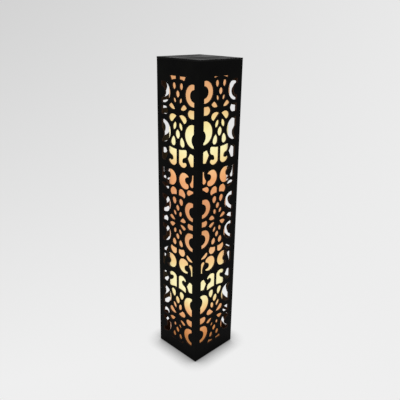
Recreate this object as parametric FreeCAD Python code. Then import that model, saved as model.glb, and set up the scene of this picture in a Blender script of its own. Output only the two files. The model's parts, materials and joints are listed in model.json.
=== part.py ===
import FreeCAD, Part
import math
import os
from collections import namedtuple

# Lantern floor lamp: a square tower of four fretted boards round an opal sleeve with two lamps inside.
# Millimetres. +Z is up, the origin is on the floor under the middle, and the boards face -Y, +X, +Y and -X.

# ---------------------------------------------------------------- driving dimensions
CASING_WIDTH = 200.0
LAMP_HEIGHT = 1100.0

# fretted boards
PANEL_THICKNESS = 5.0
SIDE_BORDER = 21.0            # solid edge left and right of the fretwork
END_BORDER = 46.0             # solid edge above and below the fretwork
PATTERN_SHIFT = 5.0           # the pattern is cut this far off the board's middle, so a turned board shows it
CURVE_DEVIATION = 1.1         # how far the short straight cuts stray from the drawn curves

# lid
LID_THICKNESS = 6.0
LID_EDGE_CHAMFER = 0.5
LID_SEAT_GAP = 0.3            # between the lid and the boards' top edges
LID_SIDE_GAP = 0.4            # between the lid's cleats and the boards
CLEAT_HEIGHT = 10.0
CLEAT_GAP = 0.6               # between the cleats and the sleeve

# base, feet and corner battens
BASE_THICKNESS = 12.0
PLINTH_THICKNESS = 10.0
FOOT_HEIGHT = 2.0
FOOT_WIDTH = 22.0
FOOT_INSET = 20.0             # from the casing's outer faces to a foot's centre
BATTEN_WIDTH = 8.0
BATTEN_TOP_GAP = 1.0          # between the battens and the lid's cleats

# opal sleeve
SLEEVE_AIR_GAP = 21.5         # between the sleeve and the boards
SLEEVE_WALL = 1.5
SLEEVE_CORNER = 6.0           # outside radius of its folded corners
SLEEVE_FIT = 0.5              # between the sleeve and the plinth it slips over
SLEEVE_TOP_LAP = 4.0          # how far the sleeve stands up between the lid's cleats

# square steel post in the sleeve's rear corner, with its foot plate
POST_WIDTH = 12.0
POST_WALL = 1.0
POST_GAP = 12.0               # between the post and the sleeve's two rear walls
POST_ABOVE_ARM = 10.0
POST_FIT = 0.1                # between the post and its hole in the plinth
PLATE_WIDTH = 28.0
PLATE_THICKNESS = 2.0

# arms, nipples and nuts
ARM_THICKNESS = 3.0
ARM_WIDTH = 20.0
ARM_END_SETBACK = 3.0         # from the post's middle back to the end of the arm's notch
LOWER_LIGHT_HEIGHT = 327.0    # of the middle of the lower bulb's globe
UPPER_LIGHT_HEIGHT = 843.0
NIPPLE_RADIUS = 5.0
NIPPLE_BORE_RADIUS = 3.5
NIPPLE_LENGTH = 15.0
NIPPLE_BELOW_ARM = 5.0
NUT_FLATS = 14.0
NUT_HEIGHT = 4.0
THREAD_FIT = 0.05             # radial, round everything that is screwed on or passed through

# lampholders
HOLDER_RADIUS = 19.5
HOLDER_FOOT_RADIUS = 12.0
HOLDER_SHOULDER = 9.0
HOLDER_BASE_HEIGHT = 20.0
HOLDER_SHELL_HEIGHT = 28.0
HOLDER_MOUTH_RADIUS = 15.0
HOLDER_MOUTH_EASE = 3.0       # height of the slope at the collar's mouth
HOLDER_HOLE_SPARE = 0.5       # above the nipple's end
CONTACT_LENGTH = 9.0
CONTACT_WIDTH = 5.0
CONTACT_THICKNESS = 1.0
SCREW_SHELL_WALL = 0.5
SCREW_SHELL_HEIGHT = 22.0

# bulbs
BULB_CAP_RADIUS = 13.2
BULB_CAP_LENGTH = 26.0
BULB_TIP_RADIUS = 4.5
BULB_TIP_LENGTH = 6.0
BULB_NECK_RADIUS = 14.0
GLOBE_RADIUS = 30.0
GLOBE_SEAT_DROP = 13.0        # from the globe's centre down to the housing's rim
HOUSING_HEIGHT = 36.0
HOUSING_WAIST_GROWTH = 5.0    # how much wider the housing is halfway up than at its neck
BULB_GAP = 0.3                # between a bulb and its holder, all round

# cable inlet
INLET_HEIGHT = 31.0
INLET_HOLE_RADIUS = 6.0
INLET_BORE_RADIUS = 4.0
BUSH_FLANGE_RADIUS = 9.0
BUSH_FLANGE = 1.5
CABLE_CHANNEL = 9.0           # width of the cable's way through the sleeve's foot and the plinth
CABLE_CHANNEL_DEPTH = 15.0

# ---------------------------------------------------------------- sizes that follow
HALF = CASING_WIDTH / 2
INNER_HALF = HALF - PANEL_THICKNESS
LID_BOTTOM = LAMP_HEIGHT - LID_THICKNESS
PANEL_TOP = LID_BOTTOM - LID_SEAT_GAP
PANEL_HEIGHT = PANEL_TOP - FOOT_HEIGHT
PANEL_MIDDLE = FOOT_HEIGHT + PANEL_HEIGHT / 2
BASE_TOP = FOOT_HEIGHT + BASE_THICKNESS
PLATE_TOP = BASE_TOP + PLATE_THICKNESS
PLINTH_TOP = BASE_TOP + PLINTH_THICKNESS
CLEAT_BOTTOM = LID_BOTTOM - CLEAT_HEIGHT
SLEEVE_HALF = INNER_HALF - SLEEVE_AIR_GAP
SLEEVE_TOP = CLEAT_BOTTOM + SLEEVE_TOP_LAP
POST_OFFSET = SLEEVE_HALF - SLEEVE_WALL - POST_GAP - POST_WIDTH / 2
BATTEN_TOP = CLEAT_BOTTOM - BATTEN_TOP_GAP
WINDOW_HALF_WIDTH = HALF - SIDE_BORDER
WINDOW_HALF_HEIGHT = PANEL_HEIGHT / 2 - END_BORDER
GLOBE_SEAT_RADIUS = math.sqrt(GLOBE_RADIUS ** 2 - GLOBE_SEAT_DROP ** 2)
HOLDER_STACK = HOLDER_BASE_HEIGHT + CONTACT_THICKNESS
BULB_STACK = BULB_CAP_LENGTH + HOUSING_HEIGHT + GLOBE_SEAT_DROP

# ---------------------------------------------------------------- the fretwork
# One quarter of a board's pattern. It is drawn at the size of a usual board and stretched to the board's window.
# u is the distance out from the board's centre line and v the distance from the pattern's middle.
# A plain pair is the end of a straight cut. An Arc bends through its first point and ends at its second.
Arc = namedtuple("Arc", "through end")


def crescent(middle, reach):
    """A C that opens on the side border: a round outer edge and a half-round notch."""
    notch = 18.0
    return [
        (79, middle + reach),
        Arc((33.3, middle), (79, middle - reach)),
        (79, middle - notch),
        Arc((60.6, middle + 0.7), (79, middle + notch)),
    ]


def leaf(lower, upper, bulge):
    """A pointed leaf between two tips, bulging alike to both sides."""
    length = math.dist(lower, upper)
    across = ((lower[1] - upper[1]) / length * bulge, (upper[0] - lower[0]) / length * bulge)
    middle = ((lower[0] + upper[0]) / 2, (lower[1] + upper[1]) / 2)
    left = (middle[0] + across[0], middle[1] + across[1])
    right = (middle[0] - across[0], middle[1] - across[1])
    return [lower, Arc(left, upper), Arc(right, lower)]


def diamond(lower, upper, half_width):
    """A pointed oval that stands on the board's centre line."""
    return leaf((0.0, lower), (0.0, upper), half_width)


QUARTER = [
    # teardrop, crescent and small leaf below the eaves
    [(17, 458), Arc((7.5, 468), (9, 479)), Arc((17, 484.5), (26, 478.5)), Arc((25, 466), (17, 458))],
    crescent(448.0, 36.0),
    leaf((9, 416.5), (19, 436.5), 7.5),
    # two wings that meet at a cross bar, and the half-round beside them
    [(10, 397), Arc((17.5, 409), (29, 418)), Arc((39, 413.5), (45.5, 406)), Arc((28, 395), (10, 397))],
    [(79, 404), (66, 404), Arc((50, 400), (44.3, 388.5)), Arc((50, 377.5), (66, 373)), (79, 373)],
    [(2.8, 376.5), Arc((17, 382.8), (33, 381)), Arc((42, 374.5), (44.8, 366)), Arc((39.5, 356.5), (27, 352.5))],
    # leaf, teardrop and the half-moon with a shallow notch
    leaf((21, 327.3), (8, 358), 10.0),
    [(19, 310.8), Arc((10, 300), (8.3, 287)), Arc((22, 272.3), (35.8, 284.5)), Arc((31.5, 299), (19, 310.8))],
    [(79, 358.3), Arc((31.9, 318), (79, 278)), (79, 288), Arc((69, 307), (79, 326))],
    # hooked comma and pentagon
    [
        (2.5, 266), Arc((18, 267), (36, 270.5)), Arc((44.5, 268.5), (46, 259)),
        Arc((44.8, 247.5), (36.5, 240.3)), Arc((29, 236.5), (26.3, 230)), Arc((27.5, 225.5), (32, 225)),
        Arc((42, 225.8), (46.3, 217.5)), Arc((26, 203.8), (2.5, 217)),
    ],
    [(79, 256.5), Arc((68, 261.5), (56.5, 261.5)), (45.2, 241), (60, 214.8), (72, 214.8), (79, 220)],
    # round comma and the sliver beside it
    [
        (56.5, 181.7), Arc((3.9, 160.8), (50, 134.4)), Arc((57, 144), (51, 155.5)),
        Arc((39.5, 165), (46, 175)), (55.5, 176),
    ],
    [(79, 191.3), (66, 191.3), Arc((65.8, 173), (57, 157)), Arc((58, 148), (66, 142.8)), (72, 142.8), (79, 149)],
    # slanted bar, and the fan over the teardrop
    [(79, 135), (62, 136), Arc((48, 131), (42.3, 121.5)), Arc((46, 112.5), (56, 111.3)), (79, 127)],
    [(2.5, 100.5), (2.5, 118), Arc((17, 129.8), (35, 122)), Arc((40.5, 108), (32, 94.8)), Arc((18, 99.3), (2.5, 100.5))],
    [(17.5, 63.3), Arc((5.5, 73.5), (5.3, 84)), Arc((17, 93.4), (28.8, 84.5)), Arc((27.5, 73), (17.5, 63.3))],
    # crescent, small leaf and petal round the flower in the board's middle
    crescent(56.8, 35.0),
    leaf((8, 22.5), (19.5, 45), 9.0),
    [(9.5, 5.5), Arc((18, 18), (29, 25)), Arc((39, 20), (44.5, 13)), Arc((27, 2.8), (9.5, 5.5))],
]

# openings on the board's centre line, mirrored up and down only
ON_CENTRE_LINE = [diamond(433.5, 461.0, 10.8), diamond(298.0, 334.0, 13.0), diamond(41.3, 67.5, 11.0)]

# the flower's side petals, mirrored left and right only
ON_MIDDLE = [[(79, 12), (66, 12), Arc((47, 0), (66, -12)), (79, -12)]]


# the opening that an end border cuts off straight: its last pair and its first lie on the border
AT_THE_EAVES = [(6.5, 500), (6.5, 492.5), Arc((20, 490.8), (31, 486.5)), (37.8, 500)]


def eaves_opening(shift):
    """The eaves' opening with its border moved by shift, its slanted side running on at the same slope."""
    (inner, border), foot, curve, (outer, _) = AT_THE_EAVES
    slope = (outer - curve.end[0]) / (border - curve.end[1])
    return [(inner, border + shift), foot, curve, (outer + slope * shift, border + shift)]


# ---------------------------------------------------------------- small helpers
def at(x, y, z):
    return FreeCAD.Vector(x, y, z)


def box(x0, x1, y0, y1, z0, z1):
    return Part.makeBox(x1 - x0, y1 - y0, z1 - z0, at(x0, y0, z0))


def square_block(half, z0, z1):
    return box(-half, half, -half, half, z0, z1)


def rod(radius, x, y, z0, z1):
    return Part.makeCylinder(radius, z1 - z0, at(x, y, z0))


def ring(outer, inner, z0, z1):
    return rod(outer, 0, 0, z0, z1).cut(rod(inner, 0, 0, z0, z1))


def revolved(profile):
    """A solid of revolution about Z from (radius, height) points."""
    points = [at(r, 0, z) for r, z in profile]
    face = Part.Face(Part.makePolygon(points + points[:1]))
    return face.revolve(at(0, 0, 0), at(0, 0, 1), 360)


def turned(shape, degrees, centre=(0, 0, 0), axis=(0, 0, 1)):
    copy = shape.copy()
    copy.rotate(at(*centre), at(*axis), degrees)
    return copy


def turned_point(point, degrees):
    return FreeCAD.Rotation(at(0, 0, 1), degrees).multVec(point)


def four_ways(shape):
    """The shape and its copies a quarter turn apart."""
    return [turned(shape, 90 * k) for k in range(4)]


# ---------------------------------------------------------------- fretted boards
def window_stretch():
    """How far the drawing is stretched along u and along v, so that it ends at the board's borders."""
    drawn_half_width = ON_MIDDLE[0][0][0]
    drawn_half_height = AT_THE_EAVES[0][1]
    return WINDOW_HALF_WIDTH / drawn_half_width, WINDOW_HALF_HEIGHT / drawn_half_height


def opening_wire(outline, mirror_u, mirror_v, middle):
    """One opening's closed outline on the outer face of the board that faces -Y."""
    stretch_u, stretch_v = window_stretch()

    def place(point):
        return at(point[0] * stretch_u * mirror_u, -HALF, middle + point[1] * stretch_v * mirror_v)

    points = [place(outline[0])]
    for step in outline[1:]:
        if isinstance(step, Arc):
            points += curve_cuts(points[-1], place(step.through), place(step.end))
        else:
            points.append(place(step))
    if points[0].distanceToPoint(points[-1]) > 1e-6:
        points.append(points[0])
    return Part.makePolygon(points)


def curve_cuts(start, through, end):
    """The ends of the straight cuts that follow an arc, weaving to either side by CURVE_DEVIATION at most."""
    arc = Part.Arc(start, through, end).toShape()
    centre = arc.Curve.Center
    radius = arc.Curve.Radius
    cut_turn = 2 * math.acos(1 - min(2 * CURVE_DEVIATION / radius, 0.5))
    cuts = math.ceil(arc.Length / radius / cut_turn)
    half_turn = arc.Length / radius / cuts / 2
    outward = 2 / (1 + math.cos(half_turn))
    corners = [centre + (point - centre) * outward for point in arc.discretize(Number=cuts + 1)[1:-1]]
    return corners + [end]


def fretwork_wires():
    """Every opening of a board, with the pattern PATTERN_SHIFT above the board's middle."""
    middle = PANEL_MIDDLE + PATTERN_SHIFT
    wires = []
    for v_side in (1, -1):
        border_shift = -v_side * PATTERN_SHIFT / window_stretch()[1]
        for outline in QUARTER + [eaves_opening(border_shift)]:
            wires += [opening_wire(outline, u_side, v_side, middle) for u_side in (1, -1)]
        wires += [opening_wire(outline, 1, v_side, middle) for outline in ON_CENTRE_LINE]
    for outline in ON_MIDDLE:
        wires += [opening_wire(outline, u_side, 1, middle) for u_side in (1, -1)]
    return wires


def fret_panel(other_openings=()):
    """The board that faces -Y, its long edges mitred to meet its neighbours."""
    corners = [at(-HALF, -HALF, FOOT_HEIGHT), at(HALF, -HALF, FOOT_HEIGHT)]
    corners += [at(HALF, -HALF, PANEL_TOP), at(-HALF, -HALF, PANEL_TOP)]
    outline = Part.makePolygon(corners + corners[:1])
    board = Part.Face([outline, *fretwork_wires(), *other_openings]).extrude(at(0, PANEL_THICKNESS, 0))
    mitre = Part.makePolygon([
        at(HALF, -HALF, FOOT_HEIGHT),
        at(HALF, -INNER_HALF, FOOT_HEIGHT),
        at(INNER_HALF, -INNER_HALF, FOOT_HEIGHT),
        at(HALF, -HALF, FOOT_HEIGHT),
    ])
    waste = Part.Face(mitre).extrude(at(0, 0, PANEL_HEIGHT))
    return board.cut([waste, waste.mirror(at(0, 0, 0), at(1, 0, 0))])


def fret_panels():
    """Four alike boards; every other one is fitted upside down, so its pattern sits lower."""
    upright = fret_panel()
    inverted = turned(upright, 180, centre=(0, 0, PANEL_MIDDLE), axis=(0, 1, 0))
    inlet = Part.Wire(Part.Circle(at(0, -HALF, INLET_HEIGHT), at(0, 1, 0), INLET_HOLE_RADIUS).toShape())
    return {
        "front_right_fret_panel": upright,
        "rear_right_fret_panel": turned(inverted, 90),
        "rear_left_fret_panel": turned(fret_panel([inlet]), 180),
        "front_left_fret_panel": turned(inverted, 270),
    }


# ---------------------------------------------------------------- base, battens and feet
def rounded_square(half, corner, z0, z1):
    block = square_block(half, z0, z1)
    upright_edges = [e for e in block.Edges if abs(e.BoundBox.ZLength - (z1 - z0)) < 1e-6]
    return block.makeFillet(corner, upright_edges)


def post_column(z0, z1, clearance=0.0, width=POST_WIDTH):
    """A square block on the post's own axis."""
    near = POST_OFFSET - width / 2 - clearance
    far = POST_OFFSET + width / 2 + clearance
    return box(near, far, near, far, z0, z1)


def base_board():
    """The floor of the casing, glued in between the four boards."""
    return square_block(INNER_HALF, FOOT_HEIGHT, BASE_TOP)


def base_plinth():
    """The block that the sleeve slips over. It traps the post's foot plate and lets the cable in."""
    half = SLEEVE_HALF - SLEEVE_WALL - SLEEVE_FIT
    block = rounded_square(half, SLEEVE_CORNER - SLEEVE_WALL, BASE_TOP, PLINTH_TOP)
    slot = CABLE_CHANNEL / 2
    return block.cut([
        post_column(BASE_TOP, PLATE_TOP, POST_FIT, PLATE_WIDTH),
        post_column(PLATE_TOP, PLINTH_TOP, POST_FIT),
        box(-slot, slot, half - CABLE_CHANNEL_DEPTH, half, BASE_TOP, PLINTH_TOP),
    ])


def corner_batten():
    """The glue batten in the +X +Y corner, between the base and the lid's cleats."""
    inside = INNER_HALF - BATTEN_WIDTH
    return box(inside, INNER_HALF, inside, INNER_HALF, BASE_TOP, BATTEN_TOP)


def feet():
    """Four square felt pads near the corners."""
    outer = HALF - FOOT_INSET
    inner = outer - FOOT_WIDTH
    return four_ways(box(inner, outer, inner, outer, 0, FOOT_HEIGHT))


# ---------------------------------------------------------------- sleeve and lid
def opal_sleeve():
    """A square tube of opal sheet with folded corners, notched at its foot for the cable."""
    outside = rounded_square(SLEEVE_HALF, SLEEVE_CORNER, BASE_TOP, SLEEVE_TOP)
    inside = rounded_square(SLEEVE_HALF - SLEEVE_WALL, SLEEVE_CORNER - SLEEVE_WALL, BASE_TOP, SLEEVE_TOP)
    slot = CABLE_CHANNEL / 2
    notch = box(-slot, slot, 0, SLEEVE_HALF, BASE_TOP, BASE_TOP + CABLE_CHANNEL)
    return outside.cut([inside, notch])


def lid_board():
    board = square_block(HALF, LID_BOTTOM, LAMP_HEIGHT)
    rim = [e for e in board.Edges if e.BoundBox.ZMin > LAMP_HEIGHT - 1e-6]
    return board.makeChamfer(LID_EDGE_CHAMFER, rim)


def lid_cleats():
    """Four strips glued under the lid, laid round like a pinwheel, that centre it in the casing."""
    near = SLEEVE_HALF + CLEAT_GAP
    far = INNER_HALF - LID_SIDE_GAP
    return four_ways(box(near, far, -near, far, CLEAT_BOTTOM, LID_BOTTOM))


# ---------------------------------------------------------------- post, arms and lampholders
def lamp_post():
    """The square tube that carries both arms, welded to its foot plate."""
    top = arm_bottom(UPPER_LIGHT_HEIGHT) + ARM_THICKNESS + POST_ABOVE_ARM
    return post_column(PLATE_TOP, top).cut(post_column(PLATE_TOP, top, -POST_WALL))


def foot_plate():
    return post_column(BASE_TOP, PLATE_TOP, width=PLATE_WIDTH)


def arm_bottom(light_height):
    """The underside of the arm that carries a bulb whose globe is centred at light_height."""
    return light_height - BULB_STACK - BULB_GAP - HOLDER_STACK - ARM_THICKNESS


def arm(z):
    """A flat bar from the lamp's axis to the post, round at one end and notched over the post's corner."""
    radius = ARM_WIDTH / 2
    top = z + ARM_THICKNESS
    reach = math.hypot(POST_OFFSET, POST_OFFSET) - ARM_END_SETBACK
    bar = box(0, reach, -radius, radius, z, top).fuse(rod(radius, 0, 0, z, top)).removeSplitter()
    return turned(bar, 45).cut([post_column(z, top), rod(NIPPLE_RADIUS + THREAD_FIT, 0, 0, z, top)])


def nipple(z):
    """The threaded tube that holds a lampholder on the arm whose underside is at z."""
    bottom = z - NIPPLE_BELOW_ARM
    return ring(NIPPLE_RADIUS, NIPPLE_BORE_RADIUS, bottom, bottom + NIPPLE_LENGTH)


def nipple_nut(z):
    """The hexagon nut that pulls the nipple tight from below the arm."""
    corner = NUT_FLATS / 2 / math.cos(math.radians(30))
    points = [at(corner, 0, z - NUT_HEIGHT)]
    for k in range(6):
        points.append(turned_point(points[0], 60 * (k + 1)))
    block = Part.Face(Part.makePolygon(points)).extrude(at(0, 0, NUT_HEIGHT))
    return block.cut(rod(NIPPLE_RADIUS + THREAD_FIT, 0, 0, z - NUT_HEIGHT, z))


def holder_base(z):
    """The lampholder's moulded base, screwed down on the nipple."""
    top = z + HOLDER_BASE_HEIGHT
    hole = NIPPLE_RADIUS + THREAD_FIT
    hole_end = z + NIPPLE_LENGTH - NIPPLE_BELOW_ARM - ARM_THICKNESS + HOLDER_HOLE_SPARE
    return revolved([
        (hole, z), (HOLDER_FOOT_RADIUS, z), (HOLDER_RADIUS, z + HOLDER_SHOULDER),
        (HOLDER_RADIUS, top), (0, top), (0, hole_end), (hole, hole_end),
    ])


def holder_contact(z):
    """The flat brass tongue under the bulb's tip."""
    bottom = z + HOLDER_BASE_HEIGHT
    length = CONTACT_LENGTH / 2
    width = CONTACT_WIDTH / 2
    return box(-length, length, -width, width, bottom, bottom + CONTACT_THICKNESS)


def screw_shell(z):
    """The thin brass tube that takes the bulb's cap."""
    bottom = z + HOLDER_BASE_HEIGHT
    inner = BULB_CAP_RADIUS + BULB_GAP
    return ring(inner + SCREW_SHELL_WALL, inner, bottom, bottom + SCREW_SHELL_HEIGHT)


def holder_shell(z):
    """The moulded collar round the screw shell."""
    bottom = z + HOLDER_BASE_HEIGHT
    top = bottom + HOLDER_SHELL_HEIGHT
    return revolved([
        (HOLDER_MOUTH_RADIUS, bottom), (HOLDER_RADIUS, bottom), (HOLDER_RADIUS, top - HOLDER_MOUTH_EASE),
        (HOLDER_RADIUS - HOLDER_MOUTH_EASE / 2, top), (HOLDER_MOUTH_RADIUS, top),
    ])


# ---------------------------------------------------------------- bulbs
def bulb_cap(z):
    """The metal screw cap, its contact tip lowest, above the holder whose foot is at z."""
    low = z + HOLDER_STACK + BULB_GAP
    high = low + BULB_CAP_LENGTH
    return revolved([
        (0, low), (BULB_TIP_RADIUS, low), (BULB_CAP_RADIUS, low + BULB_TIP_LENGTH), (BULB_CAP_RADIUS, high), (0, high),
    ])


def bulb_housing(light_height):
    """The opaque lower half of the bulb, flaring from the cap to the globe."""
    high = light_height - GLOBE_SEAT_DROP
    low = high - HOUSING_HEIGHT
    neck = at(BULB_NECK_RADIUS, 0, low)
    waist = at(BULB_NECK_RADIUS + HOUSING_WAIST_GROWTH, 0, (low + high) / 2)
    rim = at(GLOBE_SEAT_RADIUS, 0, high)
    edges = [
        Part.LineSegment(at(0, 0, low), neck).toShape(),
        Part.Arc(neck, waist, rim).toShape(),
        Part.LineSegment(rim, at(0, 0, high)).toShape(),
        Part.LineSegment(at(0, 0, high), at(0, 0, low)).toShape(),
    ]
    return Part.Face(Part.Wire(edges)).revolve(at(0, 0, 0), at(0, 0, 1), 360)


def bulb_globe(light_height):
    """The frosted dome, cut flat where it sits on the housing."""
    seat_angle = -math.degrees(math.asin(GLOBE_SEAT_DROP / GLOBE_RADIUS))
    return Part.makeSphere(GLOBE_RADIUS, at(0, 0, light_height), at(0, 0, 1), seat_angle, 90, 360)


def lamp_parts(prefix, light_height):
    """One arm with its lampholder and bulb, named after its place on the post."""
    z = arm_bottom(light_height)
    foot = z + ARM_THICKNESS
    made = {
        "arm": arm(z),
        "nipple": nipple(z),
        "nipple_nut": nipple_nut(z),
        "holder_base": holder_base(foot),
        "holder_contact": holder_contact(foot),
        "holder_shell": holder_shell(foot),
        "screw_shell": screw_shell(foot),
        "bulb_cap": bulb_cap(foot),
        "bulb_housing": bulb_housing(light_height),
        "bulb_globe": bulb_globe(light_height),
    }
    return {prefix + "_" + name: shape for name, shape in made.items()}


# ---------------------------------------------------------------- cable inlet
def cable_bush():
    """A rubber bush pushed into the rear left board from inside, its outer end flush with the board."""
    outer_end = 0.0
    flange_face = PANEL_THICKNESS
    inner_end = PANEL_THICKNESS + BUSH_FLANGE
    upright = revolved([
        (INLET_BORE_RADIUS, outer_end), (INLET_HOLE_RADIUS, outer_end), (INLET_HOLE_RADIUS, flange_face),
        (BUSH_FLANGE_RADIUS, flange_face), (BUSH_FLANGE_RADIUS, inner_end), (INLET_BORE_RADIUS, inner_end),
    ])
    lying = turned(upright, 90, axis=(1, 0, 0))
    lying.translate(at(0, HALF, INLET_HEIGHT))
    return lying


# ---------------------------------------------------------------- the whole lamp
def all_parts():
    parts = fret_panels()
    for name, batten in zip(("rear", "left", "front", "right"), four_ways(corner_batten())):
        parts[name + "_corner_batten"] = batten
    parts["base_board"] = base_board()
    parts["base_plinth"] = base_plinth()
    parts["felt_feet"] = feet()
    parts["cable_bush"] = cable_bush()
    parts["opal_sleeve"] = opal_sleeve()
    parts["lid_board"] = lid_board()
    parts["lid_cleats"] = lid_cleats()
    parts["lamp_post"] = lamp_post()
    parts["post_foot_plate"] = foot_plate()
    parts.update(lamp_parts("lower", LOWER_LIGHT_HEIGHT))
    parts.update(lamp_parts("upper", UPPER_LIGHT_HEIGHT))
    return parts


os.makedirs("parts", exist_ok=True)
for node, made in all_parts().items():
    shape = Part.makeCompound(made) if isinstance(made, list) else made
    shape.exportStep("parts/" + node + ".step")
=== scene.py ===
import json
import math
from collections import namedtuple

import bmesh
import bpy
from mathutils import Matrix, Vector


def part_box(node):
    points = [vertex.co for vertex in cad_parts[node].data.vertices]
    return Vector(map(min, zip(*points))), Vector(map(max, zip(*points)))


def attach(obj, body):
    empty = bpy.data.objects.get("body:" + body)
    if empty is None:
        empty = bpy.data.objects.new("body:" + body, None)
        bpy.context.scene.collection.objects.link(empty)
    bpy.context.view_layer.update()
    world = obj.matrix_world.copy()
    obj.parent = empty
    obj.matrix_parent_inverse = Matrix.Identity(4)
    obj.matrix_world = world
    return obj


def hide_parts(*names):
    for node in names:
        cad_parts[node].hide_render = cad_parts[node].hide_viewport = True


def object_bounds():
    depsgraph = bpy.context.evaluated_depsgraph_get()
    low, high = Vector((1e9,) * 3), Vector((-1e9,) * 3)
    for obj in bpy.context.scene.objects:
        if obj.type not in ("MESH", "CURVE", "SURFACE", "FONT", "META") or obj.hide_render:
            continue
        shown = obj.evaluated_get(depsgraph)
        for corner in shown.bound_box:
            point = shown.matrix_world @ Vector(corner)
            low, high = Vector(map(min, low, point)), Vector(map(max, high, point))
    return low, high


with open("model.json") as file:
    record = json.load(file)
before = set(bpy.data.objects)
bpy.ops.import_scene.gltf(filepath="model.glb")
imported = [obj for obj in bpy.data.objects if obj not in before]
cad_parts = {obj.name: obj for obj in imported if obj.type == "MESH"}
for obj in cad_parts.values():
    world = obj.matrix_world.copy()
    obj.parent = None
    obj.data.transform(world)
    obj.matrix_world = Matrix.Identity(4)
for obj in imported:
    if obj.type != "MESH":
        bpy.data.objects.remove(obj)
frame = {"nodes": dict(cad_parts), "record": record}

cad_low, cad_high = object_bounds()

MM = 0.001

# ---------------------------------------------------------------- the fretwork

# Outlines of the openings, in mm: across from the board's centre line and up
# from the pattern's middle. An Arc runs from the last point, through one point,
# to its end. The quarter is drawn once and mirrored across and up.

Arc = namedtuple("Arc", "through end")


def crescent(middle, reach):
    """A half moon against the border, with a spur of board left between its horns."""
    notch = 18.0
    return [
        (79, middle + reach),
        Arc((33.3, middle), (79, middle - reach)),
        (79, middle - notch),
        Arc((60.6, middle + 0.7), (79, middle + notch)),
    ]


def leaf(lower, upper, bulge):
    """A pointed leaf between two tips, swelling by bulge to either side."""
    (x0, y0), (x1, y1) = lower, upper
    length = math.hypot(x1 - x0, y1 - y0)
    across = (-(y1 - y0) / length * bulge, (x1 - x0) / length * bulge)
    middle = ((x0 + x1) / 2, (y0 + y1) / 2)
    left = (middle[0] + across[0], middle[1] + across[1])
    right = (middle[0] - across[0], middle[1] - across[1])
    return [lower, Arc(left, upper), Arc(right, lower)]


def diamond(lower, upper, half_width):
    """A leaf standing on the centre line."""
    return leaf((0.0, lower), (0.0, upper), half_width)


QUARTER = [
    [(17, 458), Arc((7.5, 468), (9, 479)), Arc((17, 484.5), (26, 478.5)), Arc((25, 466), (17, 458))],
    crescent(448.0, 36.0),
    leaf((9, 416.5), (19, 436.5), 7.5),
    [(10, 397), Arc((17.5, 409), (29, 418)), Arc((39, 413.5), (45.5, 406)), Arc((28, 395), (10, 397))],
    [(79, 404), (66, 404), Arc((50, 400), (44.3, 388.5)), Arc((50, 377.5), (66, 373)), (79, 373)],
    [
        (2.8, 376.5), Arc((17, 382.8), (33, 381)), Arc((42, 374.5), (44.8, 366)),
        Arc((39.5, 356.5), (27, 352.5)),
    ],
    leaf((21, 327.3), (8, 358), 10.0),
    [
        (19, 310.8), Arc((10, 300), (8.3, 287)), Arc((22, 272.3), (35.8, 284.5)),
        Arc((31.5, 299), (19, 310.8)),
    ],
    [(79, 358.3), Arc((31.9, 318), (79, 278)), (79, 288), Arc((69, 307), (79, 326))],
    [
        (2.5, 266), Arc((18, 267), (36, 270.5)), Arc((44.5, 268.5), (46, 259)),
        Arc((44.8, 247.5), (36.5, 240.3)), Arc((29, 236.5), (26.3, 230)), Arc((27.5, 225.5), (32, 225)),
        Arc((42, 225.8), (46.3, 217.5)), Arc((26, 203.8), (2.5, 217)),
    ],
    [(79, 256.5), Arc((68, 261.5), (56.5, 261.5)), (45.2, 241), (60, 214.8), (72, 214.8), (79, 220)],
    [
        (56.5, 181.7), Arc((3.9, 160.8), (50, 134.4)), Arc((57, 144), (51, 155.5)),
        Arc((39.5, 165), (46, 175)), (55.5, 176),
    ],
    [
        (79, 191.3), (66, 191.3), Arc((65.8, 173), (57, 157)), Arc((58, 148), (66, 142.8)), (72, 142.8),
        (79, 149),
    ],
    [(79, 135), (62, 136), Arc((48, 131), (42.3, 121.5)), Arc((46, 112.5), (56, 111.3)), (79, 127)],
    [
        (2.5, 100.5), (2.5, 118), Arc((17, 129.8), (35, 122)), Arc((40.5, 108), (32, 94.8)),
        Arc((18, 99.3), (2.5, 100.5)),
    ],
    [
        (17.5, 63.3), Arc((5.5, 73.5), (5.3, 84)), Arc((17, 93.4), (28.8, 84.5)),
        Arc((27.5, 73), (17.5, 63.3)),
    ],
    crescent(56.8, 35.0),
    leaf((8, 22.5), (19.5, 45), 9.0),
    [(9.5, 5.5), Arc((18, 18), (29, 25)), Arc((39, 20), (44.5, 13)), Arc((27, 2.8), (9.5, 5.5))],
]
ON_CENTRE_LINE = [diamond(433.5, 461.0, 10.8), diamond(298.0, 334.0, 13.0), diamond(41.3, 67.5, 11.0)]
ON_MIDDLE = [[(79, 12), (66, 12), Arc((47, 0), (66, -12)), (79, -12)]]

PATTERN_SHIFT = 6.2            # from the board's middle up to the pattern's
# The borders are level with the board's ends and not shifted with the pattern, so the openings
# next to them are this much shorter at one end and longer at the other.
BORDER_SHIFT = 5.0
EAVES_SLOPE = (500 - 486.5) / (37.8 - 31)
ARC_STEP = math.radians(9)     # between the points along an arc


def eaves_opening(shift):
    """The opening under the board's end border, whose edge lies shift mm off the pattern's own end."""
    outer = 37.8 + shift / EAVES_SLOPE
    return [(6.5, 500 + shift), (6.5, 492.5), Arc((20, 490.8), (31, 486.5)), (outer, 500 + shift)]


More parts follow.
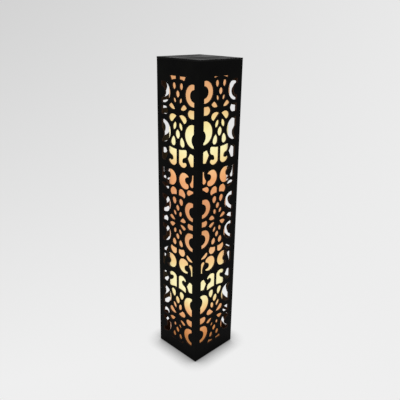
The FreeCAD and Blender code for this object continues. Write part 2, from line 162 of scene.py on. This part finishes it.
def along_arc(start, through, end):
    """Points round the circle through the three, a step apart, without the start."""
    a, b, c = complex(*start), complex(*through), complex(*end)
    chords = (c - a) / (b - a)
    middle = a - (a - b) * (chords - abs(chords) ** 2) / 2j / chords.imag
    swept = [(q - middle) / (p - middle) for p, q in ((a, b), (b, c))]
    angle = sum(math.atan2(part.imag, part.real) for part in swept)
    steps = max(2, math.ceil(abs(angle) / ARC_STEP))
    turns = [angle * i / steps for i in range(1, steps + 1)]
    points = [middle + (a - middle) * complex(math.cos(turn), math.sin(turn)) for turn in turns]
    return [(point.real, point.imag) for point in points]


def followed(outline):
    """The outline as a closed loop of points, each arc on its true circle."""
    points = [outline[0]]
    for step in outline[1:]:
        if isinstance(step, Arc):
            points += along_arc(points[-1], step.through, step.end)
        else:
            points.append(step)
    if math.dist(points[0], points[-1]) < 0.01:
        points.pop()
    return points


def openings():
    """Every opening of an upright board as a loop of points."""
    loops = []
    for side in (1, -1):
        quarter = QUARTER + [eaves_opening(-side * BORDER_SHIFT)]
        for half in (1, -1):
            loops += [[(half * u, side * v) for u, v in followed(outline)] for outline in quarter]
        loops += [[(u, side * v) for u, v in followed(outline)] for outline in ON_CENTRE_LINE]
    for half in (1, -1):
        loops += [[(half * u, v) for u, v in followed(outline)] for outline in ON_MIDDLE]
    return loops


# ---------------------------------------------------------------- fretted boards

# A lit opening bleeds over its dark edges and looks larger than it is, so each
# one is drawn in by this much, in mm, or by a share of a sliver's own width.
GLARE = 1.8
SLIVER_SHARE = 0.3
EASE = 0.4                     # of an opening's rims
CORNER_EASE = 0.5              # of the casing's corners
SHARPEST_MITRE = 0.2           # keeps a moved corner from shooting out where its sides nearly fold back
SHARP_ABOVE = math.radians(32)


def grown(loop, by):
    """The loop with every side moved outwards, its corners kept sharp."""
    area = sum(a[0] * b[1] - b[0] * a[1] for a, b in zip(loop, loop[1:] + loop[:1]))
    side = math.copysign(1, area)
    moved = []
    for before, here, after in zip(loop[-1:] + loop[:-1], loop, loop[1:] + loop[:1]):
        into = Vector((here[0] - before[0], here[1] - before[1])).normalized()
        out = Vector((after[0] - here[0], after[1] - here[1])).normalized()
        normals = Vector((into.y + out.y, -into.x - out.x)) * side
        reach = by / max(SHARPEST_MITRE, 1 + into.dot(out))
        moved.append((here[0] + normals.x * reach, here[1] + normals.y * reach))
    return moved


def narrowed(loop):
    """The loop drawn in all round for the glare, without the short sides that vanish at its tips."""
    pairs = list(zip(loop, loop[1:] + loop[:1]))
    area = abs(sum(a[0] * b[1] - b[0] * a[1] for a, b in pairs)) / 2
    length = sum(math.dist(a, b) for a, b in pairs)
    by = min(GLARE, SLIVER_SHARE * area / length * 2)
    while True:
        moved = grown(loop, -by)
        for i in range(len(loop)):
            old = Vector(loop[i]) - Vector(loop[i - 1])
            new = Vector(moved[i]) - Vector(moved[i - 1])
            if old.dot(new) <= 0:
                before = Vector(loop[i - 1]) - Vector(loop[i - 2])
                after = Vector(loop[(i + 1) % len(loop)]) - Vector(loop[i])
                blunt = i if old.angle(after) < before.angle(old) else i - 1
                loop = [point for k, point in enumerate(loop) if k != blunt % len(loop)]
                break
        else:
            return moved


def rectangle(half_width, bottom, top):
    return [(-half_width, bottom), (half_width, bottom), (half_width, top), (-half_width, top)]


def add_rings(bm, place, layers, wall):
    """Joins the same loop at several depths by walls, and returns the edges of its two ends."""
    rings = [[bm.verts.new(place @ Vector((u, depth, z))) for u, z in loop] for loop, depth in layers]
    for outer, inner in zip(rings, rings[1:]):
        for i in range(len(outer)):
            face = bm.faces.new((outer[i - 1], outer[i], inner[i], inner[i - 1]))
            face.material_index = wall
            face.smooth = True
    ends = (rings[0], rings[-1])
    return [[bm.edges.get((ring[i - 1], ring[i])) for i in range(len(ring))] for ring in ends]


def fret_board(node, quarter_turns, upright, holes=()):
    """One fretted board in the place of its node: its mitred sides, openings with eased rims, and faces."""
    low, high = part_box(node)
    bottom, top = low.z / MM, high.z / MM
    half = max(cad_high.x, cad_high.y) / MM
    thickness = min(high.x - low.x, high.y - low.y) / MM
    middle = (bottom + top) / 2 + PATTERN_SHIFT
    loops = [[(u, v + middle) for u, v in loop] for loop in openings()]
    if not upright:
        loops = [[(-u, bottom + top - z) for u, z in loop] for loop in loops]
    loops += holes
    place = Matrix.Rotation(quarter_turns * math.pi / 2, 4, "Z") @ Matrix.Scale(MM, 4)
    place = place @ Matrix.Translation((0, -half, 0))
    bm = bmesh.new()
    eased = CORNER_EASE / 2
    board = [
        (rectangle(half - CORNER_EASE, bottom + eased, top - eased), 0),
        (rectangle(half - eased, bottom, top), eased),
        (rectangle(half - thickness, bottom, top), thickness),
    ]
    edges = [add_rings(bm, place, board, 0)]
    for loop in loops:
        wall = narrowed(loop)
        rim = grown(wall, EASE)
        cut = [(rim, 0), (wall, EASE), (wall, thickness - EASE), (rim, thickness)]
        edges.append(add_rings(bm, place, cut, 1))
    for end, finish in ((0, 0), (1, 2)):
        rim = [edge for pair in edges for edge in pair[end]]
        filled = bmesh.ops.triangle_fill(bm, edges=rim, use_beauty=True)["geom"]
        for face in filled:
            if isinstance(face, bmesh.types.BMFace):
                face.material_index = finish
    bmesh.ops.recalc_face_normals(bm, faces=bm.faces)
    mesh = bpy.data.meshes.new(node + "_fretwork")
    bm.to_mesh(mesh)
    bm.free()
    mesh.set_sharp_from_angle(angle=SHARP_ABOVE)
    piece = bpy.data.objects.new(node + "_fretwork", mesh)
    bpy.context.scene.collection.objects.link(piece)
    for finish in ("black_lacquered_board", "routed_board_edge", "board_inner_face"):
        mesh.materials.append(FINISHES[finish])
    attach(piece, "casing")
    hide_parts(node)


# ---------------------------------------------------------------- finishes

def linear(hex_colour):
    """A colour written as sRGB hex, in the linear values that the shaders take."""
    parts = [int(hex_colour[i:i + 2], 16) / 255 for i in (1, 3, 5)]
    return tuple(c / 12.92 if c <= 0.04045 else ((c + 0.055) / 1.055) ** 2.4 for c in parts) + (1.0,)


def per_size(size):
    """The texture scale that repeats about once in so many millimetres."""
    return 1000 / size


THREAD_PITCH = 3.6             # of the bulbs' caps and their screw shells, in mm
# The wave texture turns through 20 radians where the others repeat once. Its scale is divided by
# the 20 alone, so its bands lie 6.3 pitches apart, much coarser than the real thread.
WAVE_RADIANS = 20


def add(tree, kind, settings=None, links=None, stops=(), **fields):
    """Adds a node: settings are its sockets' values, links what feeds its sockets, stops a colour
    ramp's positions and hex colours in rising order, and fields the node's own."""
    node = tree.nodes.new(kind)
    for name, value in fields.items():
        setattr(node, name, value)
    for i, (position, colour) in enumerate(stops):
        stop = node.color_ramp.elements[i] if i < 2 else node.color_ramp.elements.new(position)
        stop.position = position
        stop.color = linear(colour)
    for socket, value in (settings or {}).items():
        node.inputs[socket].default_value = value
    for socket, source in (links or {}).items():
        tree.links.new(source, node.inputs[socket])
    return node


def blank(name):
    """A new material with an empty node tree, and its object coordinates in metres."""
    material = bpy.data.materials.new(name)
    material.use_nodes = True
    tree = material.node_tree
    tree.nodes.clear()
    where = add(tree, "ShaderNodeTexCoord").outputs["Object"]
    return material, tree, where


def black_lacquered_board():
    """Satin black lacquer sprayed on fibreboard: it levels to a faint orange peel,
    so the face is nearly flat black with soft, slightly broken reflections."""
    material, tree, where = blank("black_lacquered_board")
    cloud = add(tree, "ShaderNodeTexNoise", {"Scale": per_size(45), "Detail": 3.0}, {"Vector": where})
    colour = add(
        tree, "ShaderNodeValToRGB", links={"Fac": cloud.outputs["Fac"]},
        stops=[(0.3, "#040404"), (0.7, "#080807")],
    )
    peel = add(tree, "ShaderNodeTexNoise", {"Scale": per_size(1.6), "Detail": 2.0}, {"Vector": where})
    gloss = add(
        tree, "ShaderNodeMapRange", {"From Min": 0.3, "From Max": 0.7, "To Min": 0.42, "To Max": 0.56},
        {"Value": cloud.outputs["Fac"]},
    )
    bump = add(
        tree, "ShaderNodeBump", {"Strength": 0.25, "Distance": 0.05 * MM}, {"Height": peel.outputs["Fac"]},
    )
    lacquer = add(
        tree, "ShaderNodeBsdfPrincipled", {"IOR": 1.5, "Specular IOR Level": 0.02},
        {
            "Base Color": colour.outputs["Color"], "Roughness": gloss.outputs["Result"],
            "Normal": bump.outputs["Normal"],
        },
    )
    add(tree, "ShaderNodeOutputMaterial", links={"Surface": lacquer.outputs["BSDF"]})
    return material


def lacquered_lid():
    """The lid's top coat, flatted and polished: at the low angle it is seen from,
    it mirrors the pale room as a soft grey sheen."""
    material, tree, where = blank("lacquered_lid")
    cloud = add(tree, "ShaderNodeTexNoise", {"Scale": per_size(70), "Detail": 2.0}, {"Vector": where})
    colour = add(
        tree, "ShaderNodeValToRGB", links={"Fac": cloud.outputs["Fac"]},
        stops=[(0.3, "#050505"), (0.7, "#0b0b0a")],
    )
    peel = add(tree, "ShaderNodeTexNoise", {"Scale": per_size(2.5), "Detail": 2.0}, {"Vector": where})
    gloss = add(
        tree, "ShaderNodeMapRange", {"From Min": 0.3, "From Max": 0.7, "To Min": 0.34, "To Max": 0.58},
        {"Value": cloud.outputs["Fac"]},
    )
    bump = add(
        tree, "ShaderNodeBump", {"Strength": 0.15, "Distance": 0.03 * MM}, {"Height": peel.outputs["Fac"]},
    )
    lacquer = add(
        tree, "ShaderNodeBsdfPrincipled", {"IOR": 1.5, "Specular IOR Level": 0.045},
        {
            "Base Color": colour.outputs["Color"], "Roughness": gloss.outputs["Result"],
            "Normal": bump.outputs["Normal"],
        },
    )
    add(tree, "ShaderNodeOutputMaterial", links={"Surface": lacquer.outputs["BSDF"]})
    return material


def routed_board_edge():
    """Fibreboard cut by a router: the open fibres drink the lacquer and stay dull,
    brown-black and slightly furred where the glow rakes across them."""
    material, tree, where = blank("routed_board_edge")
    fibre = add(tree, "ShaderNodeTexNoise", {"Scale": per_size(0.8), "Detail": 4.0}, {"Vector": where})
    colour = add(
        tree, "ShaderNodeValToRGB", links={"Fac": fibre.outputs["Fac"]},
        stops=[(0.3, "#140c09"), (0.7, "#2c1a13")],
    )
    bump = add(
        tree, "ShaderNodeBump", {"Strength": 0.5, "Distance": 0.1 * MM}, {"Height": fibre.outputs["Fac"]},
    )
    edge = add(
        tree, "ShaderNodeBsdfPrincipled", {"IOR": 1.48, "Roughness": 0.75, "Specular IOR Level": 0.25},
        {"Base Color": colour.outputs["Color"], "Normal": bump.outputs["Normal"]},
    )
    add(tree, "ShaderNodeOutputMaterial", links={"Surface": edge.outputs["BSDF"]})
    return material


def board_inner_face():
    """The boards' inner faces, sealed with one thin dusted coat: dull brown-black."""
    material, tree, where = blank("board_inner_face")
    fibre = add(tree, "ShaderNodeTexNoise", {"Scale": per_size(6), "Detail": 5.0}, {"Vector": where})
    colour = add(
        tree, "ShaderNodeValToRGB", links={"Fac": fibre.outputs["Fac"]},
        stops=[(0.3, "#120c09"), (0.7, "#20160f")],
    )
    bump = add(
        tree, "ShaderNodeBump", {"Strength": 0.3, "Distance": 0.08 * MM}, {"Height": fibre.outputs["Fac"]},
    )
    face = add(
        tree, "ShaderNodeBsdfPrincipled", {"IOR": 1.48, "Roughness": 0.7, "Specular IOR Level": 0.25},
        {"Base Color": colour.outputs["Color"], "Normal": bump.outputs["Normal"]},
    )
    add(tree, "ShaderNodeOutputMaterial", links={"Surface": face.outputs["BSDF"]})
    return material


def bare_softwood():
    """Planed spruce, brushed over with the same black as the boards' inner faces so that
    it doesn't show through the fretwork: thin enough for the 3 mm grain to read."""
    material, tree, where = blank("bare_softwood")
    along = add(tree, "ShaderNodeMapping", {"Scale": (1.0, 1.0, 0.03)}, {"Vector": where})
    ring = add(
        tree, "ShaderNodeTexNoise", {"Scale": per_size(3), "Detail": 4.0, "Distortion": 0.6},
        {"Vector": along.outputs["Vector"]},
    )
    colour = add(
        tree, "ShaderNodeValToRGB", links={"Fac": ring.outputs["Fac"]},
        stops=[(0.3, "#120d09"), (0.55, "#1c140e"), (0.75, "#2b1f15")],
    )
    bump = add(
        tree, "ShaderNodeBump", {"Strength": 0.3, "Distance": 0.1 * MM}, {"Height": ring.outputs["Fac"]},
    )
    wood = add(
        tree, "ShaderNodeBsdfPrincipled", {"IOR": 1.5, "Roughness": 0.75, "Specular IOR Level": 0.2},
        {"Base Color": colour.outputs["Color"], "Normal": bump.outputs["Normal"]},
    )
    add(tree, "ShaderNodeOutputMaterial", links={"Surface": wood.outputs["BSDF"]})
    return material


# The sleeve's painted glow, its emission colour by height in mm: orange between the two painted
# pools of light, cream in the middle of each.
PAINTED_GLOW = [
    (0, "#5f402b"), (40, "#a87041"), (85, "#d1894d"), (130, "#d99a63"), (175, "#ebaa73"),
    (205, "#f4d08d"), (235, "#f8eaac"), (285, "#faf2bb"), (330, "#f8ecaf"), (360, "#f6d491"),
    (400, "#f0ba7d"), (450, "#e2a571"), (520, "#d89965"), (620, "#dc9765"), (690, "#eca367"),
    (725, "#f2b679"), (760, "#f8dc99"), (800, "#faf0b2"), (845, "#faf3bd"), (885, "#f9e9a1"),
    (915, "#f2d28f"), (955, "#e8b47c"), (1000, "#e4a973"), (1088, "#d49361"),
]
SLEEVE_TOP = 1088


def opal_sheet():
    """Opal acrylic sheet with its glow painted on as emission: two warm pools of painted light by
    height, dimmed by painted shade towards the corners, where a painted highlight pales its base colour; it
    hides what is behind it."""
    material, tree, where = blank("opal_sheet")
    axes = add(tree, "ShaderNodeSeparateXYZ", links={"Vector": where})
    height = add(
        tree, "ShaderNodeMath", {1: 1 / (SLEEVE_TOP * MM)}, {0: axes.outputs["Z"]}, operation="MULTIPLY",
    )
    stops = [(z / SLEEVE_TOP, colour) for z, colour in PAINTED_GLOW]
    # painted glow: the emission colour follows the height, two painted pools of the bulbs' light
    glow = add(tree, "ShaderNodeValToRGB", links={"Fac": height.outputs["Value"]}, stops=stops)
    sides = [
        add(tree, "ShaderNodeMath", links={0: axes.outputs[axis]}, operation="ABSOLUTE") for axis in "XY"
    ]
    nearer = add(
        tree, "ShaderNodeMath", links={0: sides[0].outputs["Value"], 1: sides[1].outputs["Value"]},
        operation="MINIMUM",
    )
    # painted shade: the glow's strength falls towards the sleeve's corners, times a random unevenness
    corner = add(
        tree, "ShaderNodeMapRange",
        {"From Min": 58 * MM, "From Max": 74 * MM, "To Min": 1.0, "To Max": 0.42},
        {"Value": nearer.outputs["Value"]}, interpolation_type="SMOOTHSTEP",
    )
    # painted highlight: the base colour pales towards the corners and darkens across the faces
    skin = add(
        tree, "ShaderNodeValToRGB", links={"Fac": corner.outputs["Result"]},
        stops=[(0.42, "#e6dbd6"), (0.8, "#6f665f"), (1.0, "#4c453e")],
    )
    mottle = add(tree, "ShaderNodeTexNoise", {"Scale": per_size(9), "Detail": 4.0}, {"Vector": where})
    uneven = add(
        tree, "ShaderNodeMapRange", {"From Min": 0.3, "From Max": 0.7, "To Min": 0.94, "To Max": 1.0},
        {"Value": mottle.outputs["Fac"]},
    )
    strength = add(
        tree, "ShaderNodeMath", links={0: corner.outputs["Result"], 1: uneven.outputs["Result"]},
        operation="MULTIPLY",
    )
    sheet = add(
        tree, "ShaderNodeBsdfPrincipled", {"IOR": 1.49, "Roughness": 0.28},
        {
            "Base Color": skin.outputs["Color"], "Emission Color": glow.outputs["Color"],
            "Emission Strength": strength.outputs["Value"],
        },
    )
    add(tree, "ShaderNodeOutputMaterial", links={"Surface": sheet.outputs["BSDF"]})
    return material


def zinc_steel():
    """Pressed steel, bright zinc plated: cool grey, with a fine crystal bloom and
    the drawing marks of the tube."""
    material, tree, where = blank("zinc_steel")
    bloom = add(tree, "ShaderNodeTexVoronoi", {"Scale": per_size(2)}, {"Vector": where}, feature="F1")
    colour = add(
        tree, "ShaderNodeValToRGB", links={"Fac": bloom.outputs["Distance"]},
        stops=[(0.1, "#a9acb0"), (0.7, "#bfc2c5")],
    )
    drawn = add(tree, "ShaderNodeMapping", {"Scale": (1.0, 1.0, 0.02)}, {"Vector": where})
    lines = add(
        tree, "ShaderNodeTexNoise", {"Scale": per_size(0.7), "Detail": 3.0},
        {"Vector": drawn.outputs["Vector"]},
    )
    gloss = add(
        tree, "ShaderNodeMapRange", {"From Min": 0.3, "From Max": 0.7, "To Min": 0.28, "To Max": 0.42},
        {"Value": lines.outputs["Fac"]},
    )
    plate = add(
        tree, "ShaderNodeBsdfPrincipled", {"Metallic": 1.0},
        {"Base Color": colour.outputs["Color"], "Roughness": gloss.outputs["Result"]},
    )
    add(tree, "ShaderNodeOutputMaterial", links={"Surface": plate.outputs["BSDF"]})
    return material


def black_phenolic():
    """Compression-moulded phenolic: hard, dark brown-black and slightly glossy,
    with faint flow clouds from the mould."""
    material, tree, where = blank("black_phenolic")
    flow = add(
        tree, "ShaderNodeTexNoise", {"Scale": per_size(12), "Detail": 3.0, "Distortion": 1.5},
        {"Vector": where},
    )
    colour = add(
        tree, "ShaderNodeValToRGB", links={"Fac": flow.outputs["Fac"]},
        stops=[(0.3, "#0f0d0c"), (0.7, "#1b1714")],
    )
    gloss = add(
        tree, "ShaderNodeMapRange", {"From Min": 0.3, "From Max": 0.7, "To Min": 0.26, "To Max": 0.38},
        {"Value": flow.outputs["Fac"]},
    )
    shell = add(
        tree, "ShaderNodeBsdfPrincipled", {"IOR": 1.6},
        {"Base Color": colour.outputs["Color"], "Roughness": gloss.outputs["Result"]},
    )
    add(tree, "ShaderNodeOutputMaterial", links={"Surface": shell.outputs["BSDF"]})
    return material


def brass_strip():
    """Rolled brass, drawn into the screw shell: warm yellow, with a little tarnish
    and the thread as broad soft rings."""
    material, tree, where = blank("brass_strip")
    stain = add(tree, "ShaderNodeTexNoise", {"Scale": per_size(5), "Detail": 4.0}, {"Vector": where})
    colour = add(
        tree, "ShaderNodeValToRGB", links={"Fac": stain.outputs["Fac"]},
        stops=[(0.3, "#a07a38"), (0.7, "#c79c4e")],
    )
    rings = add(
        tree, "ShaderNodeTexWave", {"Scale": per_size(THREAD_PITCH) / WAVE_RADIANS}, {"Vector": where},
        bands_direction="Z",
    )
    bump = add(
        tree, "ShaderNodeBump", {"Strength": 0.6, "Distance": 0.5 * MM}, {"Height": rings.outputs["Fac"]},
    )
    brass = add(
        tree, "ShaderNodeBsdfPrincipled", {"Metallic": 1.0, "Roughness": 0.3},
        {"Base Color": colour.outputs["Color"], "Normal": bump.outputs["Normal"]},
    )
    add(tree, "ShaderNodeOutputMaterial", links={"Surface": brass.outputs["BSDF"]})
    return material


def plated_cap():
    """The bulb's nickel-plated cap, rolled to a screw: bright bands, broader than
    the real thread's, round a pale grey metal."""
    material, tree, where = blank("plated_cap")
    thread = add(
        tree, "ShaderNodeTexWave", {"Scale": per_size(THREAD_PITCH) / WAVE_RADIANS}, {"Vector": where},
        bands_direction="Z",
    )
    bump = add(
        tree, "ShaderNodeBump", {"Strength": 0.8, "Distance": 0.8 * MM}, {"Height": thread.outputs["Fac"]},
    )
    stain = add(tree, "ShaderNodeTexNoise", {"Scale": per_size(4), "Detail": 3.0}, {"Vector": where})
    colour = add(
        tree, "ShaderNodeValToRGB", links={"Fac": stain.outputs["Fac"]},
        stops=[(0.3, "#b4b3b0"), (0.7, "#cccbc8")],
    )
    cap = add(
        tree, "ShaderNodeBsdfPrincipled", {"Metallic": 1.0, "Roughness": 0.26},
        {"Base Color": colour.outputs["Color"], "Normal": bump.outputs["Normal"]},
    )
    add(tree, "ShaderNodeOutputMaterial", links={"Surface": cap.outputs["BSDF"]})
    return material


def white_housing():
    """The bulb's driver housing, moulded in white flame-safe plastic: smooth, with
    a soft gloss and the faintest spark-eroded texture."""
    material, tree, where = blank("white_housing")
    grain = add(tree, "ShaderNodeTexNoise", {"Scale": per_size(0.8), "Detail": 2.0}, {"Vector": where})
    colour = add(
        tree, "ShaderNodeValToRGB", links={"Fac": grain.outputs["Fac"]},
        stops=[(0.3, "#dcdad2"), (0.7, "#e6e4dd")],
    )
    bump = add(
        tree, "ShaderNodeBump", {"Strength": 0.2, "Distance": 0.05 * MM}, {"Height": grain.outputs["Fac"]},
    )
    housing = add(
        tree, "ShaderNodeBsdfPrincipled", {"IOR": 1.46, "Roughness": 0.35},
        {"Base Color": colour.outputs["Color"], "Normal": bump.outputs["Normal"]},
    )
    add(tree, "ShaderNodeOutputMaterial", links={"Surface": housing.outputs["BSDF"]})
    return material


def frosted_globe():
    """The bulb's globe, blown in milky plastic and lit: even warm white, with faint
    clouds where the plastic is thicker."""
    material, tree, where = blank("frosted_globe")
    haze = add(tree, "ShaderNodeTexNoise", {"Scale": per_size(15), "Detail": 2.0}, {"Vector": where})
    colour = add(
        tree, "ShaderNodeValToRGB", links={"Fac": haze.outputs["Fac"]},
        stops=[(0.3, "#ffdf9e"), (0.7, "#fff0c4")],
    )
    globe = add(
        tree, "ShaderNodeBsdfPrincipled",
        {"Base Color": linear("#fff1da"), "IOR": 1.5, "Roughness": 0.4, "Emission Strength": 1.0},
        {"Emission Color": colour.outputs["Color"]},
    )
    add(tree, "ShaderNodeOutputMaterial", links={"Surface": globe.outputs["BSDF"]})
    return material


def black_felt():
    """Pressed wool felt: matt black with a soft halo of fibres about half a
    millimetre long."""
    material, tree, where = blank("black_felt")
    fibre = add(
        tree, "ShaderNodeTexNoise", {"Scale": per_size(0.6), "Detail": 5.0, "Distortion": 1.0},
        {"Vector": where},
    )
    colour = add(
        tree, "ShaderNodeValToRGB", links={"Fac": fibre.outputs["Fac"]},
        stops=[(0.3, "#0c0c0d"), (0.7, "#1d1c1c")],
    )
    bump = add(
        tree, "ShaderNodeBump", {"Strength": 0.8, "Distance": 0.3 * MM}, {"Height": fibre.outputs["Fac"]},
    )
    felt = add(
        tree, "ShaderNodeBsdfPrincipled", {"IOR": 1.5, "Roughness": 0.95, "Sheen Weight": 0.4},
        {"Base Color": colour.outputs["Color"], "Normal": bump.outputs["Normal"]},
    )
    add(tree, "ShaderNodeOutputMaterial", links={"Surface": felt.outputs["BSDF"]})
    return material


def black_rubber():
    """The moulded rubber bush: matt black, dusty, with a fine sandblasted skin."""
    material, tree, where = blank("black_rubber")
    skin = add(tree, "ShaderNodeTexNoise", {"Scale": per_size(0.9), "Detail": 3.0}, {"Vector": where})
    colour = add(
        tree, "ShaderNodeValToRGB", links={"Fac": skin.outputs["Fac"]},
        stops=[(0.3, "#0d0d0d"), (0.7, "#191918")],
    )
    bump = add(
        tree, "ShaderNodeBump", {"Strength": 0.4, "Distance": 0.1 * MM}, {"Height": skin.outputs["Fac"]},
    )
    rubber = add(
        tree, "ShaderNodeBsdfPrincipled", {"IOR": 1.52, "Roughness": 0.7},
        {"Base Color": colour.outputs["Color"], "Normal": bump.outputs["Normal"]},
    )
    add(tree, "ShaderNodeOutputMaterial", links={"Surface": rubber.outputs["BSDF"]})
    return material


MAKERS = (
    black_lacquered_board, lacquered_lid, routed_board_edge, board_inner_face, bare_softwood,
    opal_sheet, zinc_steel, black_phenolic, brass_strip, plated_cap, white_housing, frosted_globe,
    black_felt, black_rubber,
)
FINISHES = {maker.__name__: maker() for maker in MAKERS}


def dress_nodes():
    """Gives every CAD node the finish that its record names; the lid has its own polished coat."""
    finish_of = {part["node"]: part["material_slot"] for part in frame["record"]["subparts"]}
    finish_of["lid_board"] = "lacquered_lid"
    for name, node in frame["nodes"].items():
        if not node.material_slots:
            node.data.materials.append(None)
        for slot in node.material_slots:
            slot.material = FINISHES[finish_of[name]]


# ---------------------------------------------------------------- the studio

def directional(tree, where, direction, low, high):
    """How far a point or ray lies along a direction, as 0 to 1 between low and high."""
    along = add(
        tree, "ShaderNodeVectorMath", {1: direction}, {0: where}, operation="DOT_PRODUCT",
    )
    return add(
        tree, "ShaderNodeMapRange", {"From Min": low, "From Max": high}, {"Value": along.outputs["Value"]},
    ).outputs["Result"]


def seen_rays(tree):
    """1 for rays that look at the room directly, by reflection or through something clear."""
    path = add(tree, "ShaderNodeLightPath")
    first = add(
        tree, "ShaderNodeMath", links={0: path.outputs["Is Camera Ray"], 1: path.outputs["Is Glossy Ray"]},
        operation="MAXIMUM",
    )
    return add(
        tree, "ShaderNodeMath", links={0: first.outputs["Value"], 1: path.outputs["Is Transmission Ray"]},
        operation="MAXIMUM",
    ).outputs["Value"]


ROOM_LIGHT = 0.7
SHADOW_REACH = 64 * MM         # of the foot's painted shadow over the floor
FLOOR_REACH = 3.0


def light_room():
    """A plain pale studio, evenly lit, whose backdrop has painted shade that darkens it a little upwards
    and to the left.
    """
    world = bpy.data.worlds.new("studio_room")
    bpy.context.scene.world = world
    world.use_nodes = True
    tree = world.node_tree
    tree.nodes.clear()
    where = add(tree, "ShaderNodeTexCoord").outputs["Generated"]
    # painted shade: the backdrop darkens upwards and to the left
    rise = directional(tree, where, (0, 0, 1), -0.62, 0.05)
    right = directional(tree, where, (0.71, -0.704, 0), -0.36, 0.40)
    top = add(
        tree, "ShaderNodeMix", {"A": linear("#d2d2d2"), "B": linear("#e9e9e9")}, {"Factor": right},
        data_type="RGBA",
    )
    backdrop = add(
        tree, "ShaderNodeMix", {"A": linear("#efefef")}, {"Factor": rise, "B": top.outputs["Result"]},
        data_type="RGBA",
    )
    seen = add(tree, "ShaderNodeBackground", {"Strength": 1.0}, {"Color": backdrop.outputs["Result"]})
    light = add(tree, "ShaderNodeBackground", {"Color": linear("#ffffff"), "Strength": ROOM_LIGHT})
    both = add(
        tree, "ShaderNodeMixShader", links={0: seen_rays(tree), 1: light.outputs[0], 2: seen.outputs[0]},
    )
    add(tree, "ShaderNodeOutputWorld", links={"Surface": both.outputs[0]})


def softbox(name, place, size, power):
    """One large square softbox aimed at the lamp's middle."""
    data = bpy.data.lights.new(name, "AREA")
    data.shape = "SQUARE"
    data.size = size
    data.energy = power
    lamp = bpy.data.objects.new(name, data)
    lamp.location = place
    aim = (cad_low + cad_high) / 2 - Vector(place)
    lamp.rotation_euler = aim.to_track_quat("-Z", "Y").to_euler()
    lamp.visible_camera = False
    lamp.visible_glossy = False
    bpy.context.scene.collection.objects.link(lamp)


def studio_floor():
    """The pale floor: where it is seen it has the backdrop's tone, less the soft painted shadow at the
    foot, drawn from the occlusion of nearby parts.
    """
    material, tree, where = blank("studio_floor")
    near = add(
        tree, "ShaderNodeAmbientOcclusion", {"Distance": SHADOW_REACH, "Color": linear("#ffffff")},
        samples=16,
    )
    # painted shadow: the floor's seen tone darkens where the lamp's parts stand close by
    painted_foot_shadow = add(
        tree, "ShaderNodeValToRGB", links={"Fac": near.outputs["AO"]},
        stops=[(0.3, "#6c6c6c"), (0.5, "#9e9e9e"), (0.75, "#d6d6d6"), (1.0, "#ffffff")],
    )
    seen = add(tree, "ShaderNodeBsdfTransparent", links={"Color": painted_foot_shadow.outputs["Color"]})
    bounced = add(tree, "ShaderNodeBsdfDiffuse", {"Color": linear("#e4e4e4")})
    both = add(
        tree, "ShaderNodeMixShader", links={0: seen_rays(tree), 1: bounced.outputs[0], 2: seen.outputs[0]},
    )
    add(tree, "ShaderNodeOutputMaterial", links={"Surface": both.outputs[0]})
    mesh = bpy.data.meshes.new("studio_floor")
    corners = [(FLOOR_REACH * x, FLOOR_REACH * y, 0) for x, y in ((-1, -1), (1, -1), (1, 1), (-1, 1))]
    mesh.from_pydata(corners, [], [(0, 1, 2, 3)])
    mesh.materials.append(material)
    floor = bpy.data.objects.new("studio_floor", mesh)
    bpy.context.scene.collection.objects.link(floor)


def photo_camera():
    """The camera at the photograph's place and angle."""
    yaw, pitch, roll = (math.radians(a) for a in (45.29, -20.03, 0.96))
    ahead = Vector((math.sin(yaw) * math.cos(pitch), math.cos(yaw) * math.cos(pitch), math.sin(pitch)))
    level = Vector((math.cos(yaw), -math.sin(yaw), 0))
    above = level.cross(ahead)
    right = math.cos(roll) * level + math.sin(roll) * above
    up = -math.sin(roll) * level + math.cos(roll) * above
    data = bpy.data.cameras.new("photo_camera")
    data.sensor_width = 36
    data.lens = 43.565
    data.shift_y = -0.006
    camera = bpy.data.objects.new("photo_camera", data)
    axes = Matrix((right, up, -ahead)).transposed().to_4x4()
    camera.matrix_world = Matrix.Translation((-1.1643, -1.1641, 1.2102)) @ axes
    bpy.context.scene.collection.objects.link(camera)
    bpy.context.scene.camera = camera


# ---------------------------------------------------------------- the whole lamp

dress_nodes()

# The round hole of the cable inlet, in mm.
INLET_HEIGHT = 31.0
INLET_RADIUS = 6.0
INLET_STEPS = 48
TURNS = [i * math.tau / INLET_STEPS for i in range(INLET_STEPS)]
INLET = [(INLET_RADIUS * math.cos(turn), INLET_HEIGHT + INLET_RADIUS * math.sin(turn)) for turn in TURNS]

fret_board("front_right_fret_panel", 0, True)
fret_board("rear_right_fret_panel", 1, False)
fret_board("rear_left_fret_panel", 2, True, [INLET])
fret_board("front_left_fret_panel", 3, False)

studio_floor()
light_room()
softbox("left_softbox", place=(-2.2, -0.9, 2.0), size=1.4, power=55)
photo_camera()
bpy.context.scene.view_settings.view_transform = "Standard"
